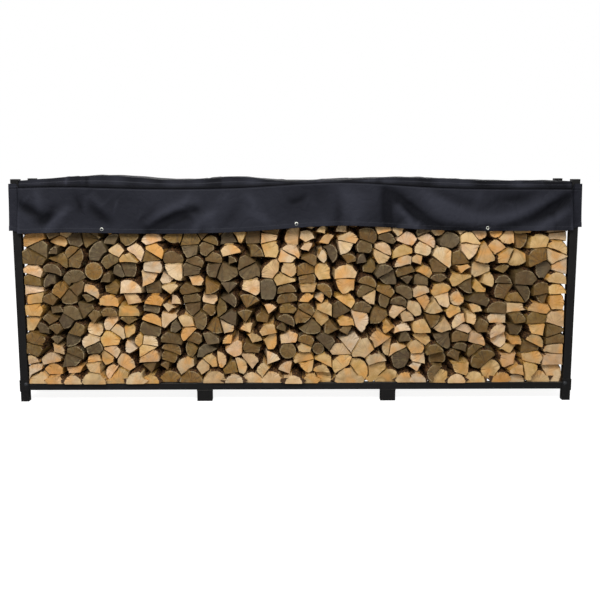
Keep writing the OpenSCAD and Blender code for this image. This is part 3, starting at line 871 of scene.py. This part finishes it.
# Folds of the front skirt: the x and z of their start, middle and end, then width and height, where a
# valley has a height below zero
FOLDS = [
    ((-1.481, 1.094), (-1.430, 1.061), (-1.361, 1.023), 0.027, -0.015),
    ((-1.382, 1.187), (-1.377, 1.132), (-1.371, 1.078), 0.027, 0.008),
    ((-1.339, 0.931), (-1.286, 0.991), (-1.221, 1.056), 0.024, 0.015),
    ((-1.382, 0.991), (-1.339, 1.007), (-1.296, 1.061), 0.027, -0.011),
    ((-1.103, 1.165), (-1.066, 1.105), (-1.028, 1.056), 0.027, 0.007),
    ((-1.082, 1.067), (-1.044, 1.029), (-1.001, 0.991), 0.027, -0.009),
    ((-0.792, 0.947), (-0.674, 1.007), (-0.540, 1.056), 0.024, -0.016),
    ((-0.782, 0.991), (-0.664, 1.061), (-0.535, 1.105), 0.027, 0.011),
    ((-0.546, 0.947), (-0.497, 0.996), (-0.444, 1.040), 0.027, 0.011),
    ((-0.395, 0.969), (-0.342, 1.023), (-0.299, 1.089), 0.032, -0.006),
    ((-0.235, 1.040), (-0.186, 1.012), (-0.138, 0.985), 0.027, 0.007),
    ((0.259, 1.187), (0.302, 1.083), (0.350, 0.980), 0.076, 0.009),
    ((0.221, 1.110), (0.227, 1.034), (0.216, 0.952), 0.022, -0.006),
    ((0.468, 1.203), (0.484, 1.083), (0.495, 0.952), 0.027, -0.014),
    ((0.484, 1.198), (0.602, 1.072), (0.763, 0.969), 0.030, -0.016),
    ((0.554, 1.072), (0.596, 1.012), (0.645, 0.952), 0.024, 0.012),
    ((0.650, 1.181), (1.020, 0.991), (1.406, 1.154), 0.038, 0.017),
    ((0.720, 0.969), (0.961, 0.952), (1.176, 0.974), 0.027, -0.012),
    ((1.111, 0.963), (1.336, 1.050), (1.481, 1.159), 0.035, -0.017),
    ((1.299, 0.947), (1.374, 0.991), (1.454, 1.045), 0.027, 0.013),
    ((0.752, 1.165), (0.854, 1.110), (0.966, 1.094), 0.027, -0.007),
    ((1.095, 1.110), (1.213, 1.127), (1.310, 1.176), 0.027, -0.006),
]

top_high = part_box("cover_top")[1]
end_low, end_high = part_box("cover_left_end")
post_low, post_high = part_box("left_front_post")
post_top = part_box("post_caps")[1].z
half_length, half_depth, wrap_depth = top_high.x, top_high.y, end_high.y
flare = -end_low.x - half_length
pocket_x, pocket_y = -post_high.x - POCKET_SPACE, -post_high.y - POCKET_SPACE
shoulder_y = half_depth - SHOULDER_RUN * SHOULDER


def swells(x, hills):
    """The sum of smooth hills along the rack, each a bell curve."""
    return sum(height * np.exp(-((x - place) / width) ** 2) for place, width, height in hills)


def crest(x):
    """Height of the cloth along the middle of the load."""
    return post_top - LOAD_BELOW_POSTS + swells(x, CREST_SWELLS)


def seam(x):
    """Height of the seam between the top panel and the long skirts."""
    return post_top - LOAD_BELOW_POSTS - SHOULDER + swells(x, SEAM_LIFTS)


def hem(x):
    """Height of the hem: a drop below the seam, tilted along the rack and curling up past the posts."""
    past_post = np.clip((np.abs(x) - pocket_x) / (-post_low.x - pocket_x), 0, 1)
    return seam(x) - SKIRT_DROP + HEM_TILT * x / -post_low.x + HEM_CURL * past_post


def three_point(points, count=28):
    """A smooth line through three points: the parabola in the share of its length."""
    share = np.linspace(0, 1, count)[:, None]
    start, middle, end = np.array(points)
    ends = (start * (share - 1) + end * share) * (2 * share - 1)
    return ends + middle * 4 * share * (1 - share)


def fold(x, z, line, width, height):
    """A fold along a line: a bell curve of the distance to it, which fades at both its ends."""
    gap = np.hypot(x[..., None] - line[:, 0], z[..., None] - line[:, 1])
    share = gap.argmin(axis=-1) / (len(line) - 1)
    return height * np.exp(-(gap.min(axis=-1) / width) ** 2) * np.sin(np.pi * (0.12 + 0.76 * share)) ** 0.7


def creases(x, z, count, reach, seed):
    """Small seeded creases, short lines of every slope, each a narrow ridge or valley."""
    rng = np.random.default_rng(seed)
    total = np.zeros(np.shape(x))
    for _ in range(count):
        middle = rng.uniform((-reach[0], reach[1]), (reach[0], reach[2]))
        turn = rng.uniform(0, np.pi)
        half = rng.uniform(0.02, 0.075) * np.array([np.cos(turn), np.sin(turn)])
        line = three_point([middle - half, middle + rng.normal(0, 0.008, 2), middle + half], 10)
        total += fold(x, z, line, rng.uniform(0.008, 0.02), rng.normal(0, 0.003))
    return total


def loose_folds(x, z):
    """Folds, small creases and a slow sway of a long skirt, which together level off towards the most
    that the loose cloth can give."""
    out = 0.0022 * np.sin(5.1 * x + 9 * z) + 0.0018 * np.sin(11.3 * x - 14 * z + 1.0)
    for *points, width, height in FOLDS:
        out = out + fold(x, z, three_point(points), width, height)
    out = out + creases(x, z, 70, (1.45, 0.94, 1.17), 31)
    return DRAPE_MOST * np.tanh(out / DRAPE_MOST)


def drape(x, z):
    """How far a long skirt stands out from its plane: its loose folds, flat round each eyelet."""
    out = loose_folds(x, z)
    for place_x, place_z in EYELET_PLACES:
        held = loose_folds(np.array(place_x), np.array(place_z))
        out = out + (held - out) * np.exp(-(np.hypot(x - place_x, z - place_z) / EYELET_FLAT) ** 4)
    return out


def rumple(x, y):
    """Small folds and waves of the top panel, lifted off the logs and kept between zero and their most."""
    waves = 0.0012 * np.sin(31 * x + 6 * y) * np.sin(13 * x + 2) - 0.001 * np.cos(17 * x - 9 * y)
    return np.clip(TOP_LIFT + waves + creases(x, y, 90, (1.45, -0.19, 0.19), 57), 0, RUMPLE_MOST)


def top_height(x, y):
    """Height of the top panel: flat over the load, then a quarter ellipse down to the seam, and a
    rounded edge at either end, rumpled where it lies on the logs."""
    share = np.clip((np.abs(y) - shoulder_y) / (half_depth - shoulder_y), 0, 1)
    over = np.clip((np.abs(x) - half_length + END_ROLL) / END_ROLL, 0, 1)
    loose = (1 - share) ** 2 * (1 - over) * np.clip((half_length - np.abs(x)) / 0.1, 0, 1)
    height = crest(x) - (crest(x) - seam(x)) * (1 - np.sqrt(1 - share ** 2))
    return height - END_ROLL * (1 - np.sqrt(1 - over ** 2)) + rumple(x, y) * loose


def steps_between(start, end, cell=CELL):
    """Even steps from a start to an end, both included, about a cell long."""
    return np.linspace(start, end, max(2, round(abs(end - start) / cell) + 1))


def skirt_plan():
    """The plan of the skirts: one quarter from the middle of the front to the middle of the right end,
    mirrored to a loop. The cloth steps back behind the load's face to wrap the posts, with a tight
    groove beside each. Returns the places, the outward directions and which places are on the seam."""
    front_x = steps_between(0, pocket_x)
    wrap_x = pocket_x + np.concatenate([WRAP_RUN * np.arange(1, 7) / 6,
                                        steps_between(WRAP_RUN, half_length - CORNER_RADIUS - pocket_x)[1:]])
    run = np.clip((wrap_x - pocket_x) / WRAP_RUN, 0, 1)
    step_back = half_depth + (wrap_depth - half_depth) * run ** 2 * (3 - 2 * run)
    turn = np.linspace(0, np.pi / 2, 6)[1:]
    corner = np.stack([half_length - CORNER_RADIUS * (1 - np.sin(turn)),
                       CORNER_RADIUS * (1 - np.cos(turn)) - wrap_depth], axis=1)
    end_y = np.concatenate([steps_between(CORNER_RADIUS - wrap_depth, -pocket_y)[1:-1],
                            steps_between(-pocket_y, 0)])
    quarter = np.concatenate([np.stack([front_x, np.full(len(front_x), -half_depth)], axis=1),
                              np.stack([wrap_x, -step_back], axis=1), corner,
                              np.stack([np.full(len(end_y), half_length), end_y], axis=1)])
    right = np.concatenate([quarter, quarter[-2::-1] * [1, -1]])
    loop = np.concatenate([right, right[-2:0:-1] * [-1, 1]])
    outward = outward_of(loop)
    sewn = np.abs(loop[:, 0]) <= pocket_x + 1e-6
    outward[sewn] = np.stack([np.zeros(sewn.sum()), np.sign(loop[sewn, 1])], axis=1)
    return loop, outward, sewn


def grown_below(below):
    """How far a fold has grown at a distance below the seam: one less a falling exponential."""
    return 1 - np.exp(-below / FOLD_GROWTH)


def cover_skirts():
    """The skirts: the plan carried up from the hem to the seam, moved out by its folds, the flare of
    the ends and the band of the hem, and tucked in along the seam. Returns the points, the cloth's map
    and how far each point stands out in a fold, which sets the painted highlight and shade of the folds."""
    plan, outward, sewn = skirt_plan()
    x, y = plan[:, :1], plan[:, 1:]
    wrapped = np.clip((np.abs(x) - pocket_x) / WRAP_RUN, 0, 1)
    end_share = np.clip((np.abs(y) - pocket_y) / (wrap_depth - pocket_y), 0, 1)
    flap = post_top - POST_PEEK
    end_top = top_height(np.sign(x) * half_length, np.zeros_like(y))
    at_end = np.abs(outward[:, :1])
    high = np.where(sewn[:, None], seam(x), seam(x) + (flap - seam(x)) * wrapped)
    high = np.where(np.abs(x) > half_length - 1e-6, end_top + (flap - end_top) * end_share, high)
    low = hem(x)
    share = np.concatenate([[0, 0.016, 0.05], np.linspace(0.09, 0.94, 25), [0.965, 0.985, 1]])[None, :]
    z = low + (high - low) * share
    below = high - z
    front = drape(np.broadcast_to(np.where(y < 0, x, -x), z.shape), z) * np.abs(outward[:, 1:])
    snug = 1 - WRAP_SNUG * wrapped
    side = 0.005 * np.sin(26 * y + 1.3) * (1 - share) + 0.003 * np.sin(60 * y + 9 * z)
    out = (front * snug + side * at_end) * grown_below(below)
    out = out + flare * at_end * (1 - share) + HEM_STEP * (z - low < HEM_BAND)
    out = out - SEAM_TUCK * np.exp(-(below / TUCK_REACH) ** 2) * sewn[:, None]
    points = np.stack([x + outward[:, :1] * out, y + outward[:, 1:] * out, z], axis=-1)
    uv = [run_along(plan)[:, None], (z - low) / (seam(x) - low) * SKIRT_DROP]
    return points, np.stack(np.broadcast_arrays(*uv), axis=-1), out / DRAPE_MOST


def cover_top():
    """The top panel on a grid of lengths and depths. Returns the points, the cloth's map, which cells are
    outside the corner slits, and how far each point stands out in a fold, less the painted shade of the flat
    top."""
    half_x = np.concatenate([steps_between(0, pocket_x), steps_between(pocket_x, half_length)[1:]])
    roll = shoulder_y + (half_depth - shoulder_y) * np.sin(np.linspace(0, np.pi / 2, 17))
    half_y = np.concatenate([steps_between(0, pocket_y), steps_between(pocket_y, shoulder_y)[1:], roll[1:]])
    xs, ys = (np.concatenate([-half[:0:-1], half]) for half in (half_x, half_y))
    x, y = np.meshgrid(xs, ys)
    tucked = np.where(np.abs(y) > half_depth - 1e-6, y - np.sign(y) * SEAM_TUCK, y)
    points = np.stack([x, tucked, top_height(x, y)], axis=-1)
    middle_x, middle_y = (np.abs(ends[1:] + ends[:-1]) / 2 for ends in (xs, ys))
    kept = (middle_x[None, :] < pocket_x) | (middle_y[:, None] < pocket_y)
    uv = np.stack([x, SKIRT_DROP + half_depth - np.abs(y)], axis=-1)
    # The fold value of the top is lowered so that painted shade darkens its flat cloth.
    return points, uv, kept.ravel(), rumple(x, y) / RUMPLE_MOST - TOP_PAINTED_SHADE


def cover_mesh():
    """Skirts and top panel joined along the seam, with the map that the weave and stitches follow and
    how far each point stands out in a fold, which sets the painted highlight and shade of the cloth."""
    skirt, skirt_uv, skirt_fold_shade = cover_skirts()
    top, top_uv, kept, top_fold_shade = cover_top()
    skirt_faces = grid_faces(*skirt.shape[:2], True, False)
    top_faces = grid_faces(*top.shape[:2])[kept] + skirt.shape[0] * skirt.shape[1]
    faces = np.concatenate([skirt_faces, top_faces])
    every = np.concatenate([skirt.reshape(-1, 3), top.reshape(-1, 3)])
    uv = np.concatenate([skirt_uv.reshape(-1, 2), top_uv.reshape(-1, 2)])[faces]
    wrap = np.ptp(uv[:, :, 0], axis=1) > 1
    uv[wrap, 2:, 0] += skirt_uv[-1, 0, 0] + CELL
    first, number = np.unique(every.round(5), axis=0, return_index=True, return_inverse=True)[1:]
    folds = np.concatenate([skirt_fold_shade.ravel(), top_fold_shade.ravel()])
    return every[first], number.ravel()[faces], uv, folds[first]


def beat(tree, value, pitch):
    """A sine wave that turns once in each pitch of a value."""
    return calc(tree, "SINE", times(tree, value, 2 * math.pi / pitch))


def coated_cloth():
    """Coated cloth: a fine plain weave under a dull coating, crinkled, and dusty on top. Painted highlight
    makes the crests of its folds paler, and painted shade darkens their valleys and the flat top. A painted
    shadow line runs along the seam, and rows of stitches run beside the seam and above the hem."""
    finish, tree, shader = new_finish("coated_cover_cloth", Specular_IOR_Level=0.04)
    place = object_place(tree)
    sewn = add(tree, "SeparateXYZ", {0: add(tree, "UVMap", uv_map="cloth")}).node.outputs
    clouds = noise(tree, place, 7, 5, 0.6)
    # Painted highlight and shade: the fold value, with slow clouds of tone, runs the cloth from near black in
    # the valleys and on the flat top to paler on the crests.
    fold_shade_key = add(tree, "Attribute", output="Fac", attribute_name="fold")
    wear_and_fold_shade = plus(tree, times(tree, clouds, 0.3), span(tree, fold_shade_key, -0.45, 0.5, 0, 0.7))
    cloth = mix(tree, wear_and_fold_shade, linear(3, 3, 5), linear(49, 50, 58))
    cloth = mix(tree, mask_of(tree, dust, place, 0.05), cloth, linear(92, 90, 90))
    # Painted shadow: a dark line along the seam, where the tucked seam lies in shade.
    from_seam = away_from(tree, sewn["Y"], SKIRT_DROP)
    cloth = mix(tree, span(tree, from_seam, 0.0028, 0.001, 0, 0.7), cloth, linear(16, 16, 18))
    weave = times(tree, beat(tree, sewn["X"], WEAVE_PITCH), beat(tree, sewn["Y"], WEAVE_PITCH))
    rows = 0.0
    for row in STITCH_ROWS:
        rows = calc(tree, "MAXIMUM", rows, span(tree, away_from(tree, sewn["Y"], row), 0.0012, 0.0006))
    stitches = times(tree, rows, span(tree, beat(tree, sewn["X"], STITCH_PITCH), -0.4, 0.1))
    cloth = mix(tree, times(tree, stitches, 0.5), cloth, linear(74, 75, 80))
    crinkle = away_from(tree, noise(tree, place, 15, 3), 0.5)
    crumple = calc(tree, "SUBTRACT", noise(tree, place, 55, 4, 0.55), span(tree, crinkle, 0, 0.09, 1.2, 0))
    relief = plus(tree, times(tree, crumple, 1.6), times(tree, stitches, 0.5))
    relief = plus(tree, times(tree, weave, 0.12), relief)
    wire(tree, shader, {"Base Color": cloth, "Roughness": span(tree, clouds, 0.3, 0.7, 0.56, 0.7),
                        "Normal": raised(tree, relief, 0.5, 0.0015)})
    return finish


def skirt_face(x, z, face):
    """The y of the cloth at a place on the front, face -1, or the rear, face 1."""
    x, z = np.array([x]), np.array([z])
    return face * (half_depth + drape(-face * x, z) * grown_below(seam(x) - z))[0]


cover_points, cover_faces, cover_uv, cover_fold_shade = cover_mesh()
eyelet_middles = [(-face * x, skirt_face(-face * x, z, face), z)
                  for face in (-1, 1) for x, z in EYELET_PLACES]
centres = cover_points[cover_faces].mean(axis=1)
gaps = np.min([np.linalg.norm(centres - middle, axis=1) for middle in eyelet_middles], axis=0)
pierced = gaps < EYELET_HOLE
cover = new_piece("fitted_cover", [(cover_points, cover_faces[~pierced])], coated_cloth())
cover.data.uv_layers.new(name="cloth").data.foreach_set("uv", cover_uv[~pierced].astype(np.float32).ravel())
# The fold value sets the cloth's painted highlight and shade.
add_attribute(cover.data, "fold", "FLOAT", cover_fold_shade)
cover.data.shade_smooth()
lining = cover.modifiers.new("cloth thickness", "SOLIDIFY")
lining.thickness = CLOTH_THICKNESS
lining.offset = -1
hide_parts("cover_top", "cover_front", "cover_rear", "cover_left_end", "cover_right_end")


# Eyelets: pressed metal rings in the hem, three along the front and three along the rear, where the
# cover can be tied down. Each is a rolled flange with a flat collar round the hole.
EYELET_SIDES = 36
# Radius and height of the ring's profile off the cloth, from its outer edge to inside the hole
EYELET_PROFILE = np.array([[9.9, -0.6], [10.3, 0.2], [10.0, 1.1], [8.9, 1.9], [7.6, 2.2], [6.2, 2.0],
                           [5.2, 1.3], [4.7, 0.2], [4.7, -2.6]]) / 1000


def pale_plate():
    """Pale plated brass: a warm white metal with a cloudy, part dulled shine."""
    finish, tree, shader = new_finish("pale_plated_brass", Metallic=0.35)
    place = object_place(tree)
    clouds = noise(tree, place, 180, 4)
    metal = mix(tree, clouds, linear(206, 206, 192), linear(236, 236, 226))
    wire(tree, shader, {"Base Color": metal, "Roughness": span(tree, clouds, 0.3, 0.7, 0.4, 0.56)})
    return finish


eyelet_parts = []
for middle in eyelet_middles:
    points, bands = turned(EYELET_PROFILE, middle, (0, np.sign(middle[1]), 0), EYELET_SIDES)[:2]
    eyelet_parts.append((points[:-1], bands))
eyelets = new_piece("cover_eyelets", eyelet_parts, pale_plate())
eyelets.data.shade_smooth()


# Studio: a pale floor that runs out of sight and keeps the shadow, a white surround, soft lamps above,
# in front and behind, and the camera at the height and distance that the picture was taken from.
WHITE = (1, 1, 1, 1)
FLOOR_GREY = (0.4, 0.4, 0.4, 1)
FLOOR_HALF = 60.0
FLOOR_GLOW = 0.9
SURROUND_LIGHT = 0.28
# Lamps: place, length and height of the panel, and power, all aimed at the middle of the load
LAMPS = {"key lamp": ((-1.0, -4.0, 4.0), (5.0, 1.6), 350),
         "fill lamp": ((1.5, -5.5, 2.0), (3.0, 3.0), 45),
         "rear lamp": ((0.0, 4.4, 2.6), (5.0, 2.0), 90)}
LAMP_AIM = np.array([0, 0, 0.6])
# Camera: place, tilt and turn in degrees, and lens in millimetres on a sensor of that width
CAMERA_PLACE = (-0.031, -4.852, 1.289)
CAMERA_PITCH = -8.788
CAMERA_YAW = -0.625
CAMERA_LENS = 52.03
CAMERA_SENSOR = 36


def pale_floor():
    """White to the eye, with the shadow kept: a shaded grey, and a glow added on camera rays."""
    finish, tree, shader = new_finish("pale_floor", Roughness=0.9, Specular_IOR_Level=0.1)
    shader.inputs["Base Color"].default_value = FLOOR_GREY
    seen = add(tree, "LightPath", output="Is Camera Ray")
    glow = add(tree, "Emission", {"Color": WHITE, "Strength": times(tree, seen, FLOOR_GLOW)})
    shown = add(tree, "AddShader", {0: shader.outputs[0], 1: glow})
    wire(tree, tree.nodes["Material Output"], {"Surface": shown})
    return finish


floor_corners = np.array([[-1, -1, 0], [1, -1, 0], [1, 1, 0], [-1, 1, 0]]) * FLOOR_HALF
floor_mesh = bpy.data.meshes.new("floor")
floor_mesh.from_pydata(floor_corners, [], [(0, 1, 2, 3)])
floor_mesh.materials.append(pale_floor())
floor = bpy.data.objects.new("floor", floor_mesh)
bpy.context.scene.collection.objects.link(floor)
floor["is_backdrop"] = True

world = bpy.data.worlds.new("white surround")
world.use_nodes = True
bpy.context.scene.world = world
seen = add(world.node_tree, "LightPath", output="Is Camera Ray")
wire(world.node_tree, world.node_tree.nodes["Background"],
     {"Color": WHITE, "Strength": span(world.node_tree, seen, 0, 1, SURROUND_LIGHT, 1.0)})

for name, (place, size, power) in LAMPS.items():
    lamp = bpy.data.lights.new(name, "AREA")
    lamp.shape = "RECTANGLE"
    lamp.size, lamp.size_y = size
    lamp.energy = power
    holder = bpy.data.objects.new(name, lamp)
    holder.location = place
    holder.visible_camera = False
    away = np.array(place) - LAMP_AIM
    tilt, turn = math.acos(away[2] / np.linalg.norm(away)), math.atan2(away[1], away[0]) + math.pi / 2
    holder.rotation_euler = (tilt, 0, turn)
    bpy.context.scene.collection.objects.link(holder)

camera_data = bpy.data.cameras.new("camera")
camera_data.lens = CAMERA_LENS
camera_data.sensor_width = CAMERA_SENSOR
camera = bpy.data.objects.new("camera", camera_data)
camera.location = CAMERA_PLACE
camera.rotation_euler = (math.radians(90 + CAMERA_PITCH), 0, math.radians(CAMERA_YAW))
bpy.context.scene.collection.objects.link(camera)
bpy.context.scene.camera = camera
bpy.context.scene.view_settings.view_transform = "Standard"


# Sizes of the solids and of the dressed rack, side by side
({name: [[float(value) for value in corner] for corner in box]
           for name, box in (("cad", cad_box), ("visual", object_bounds()))})
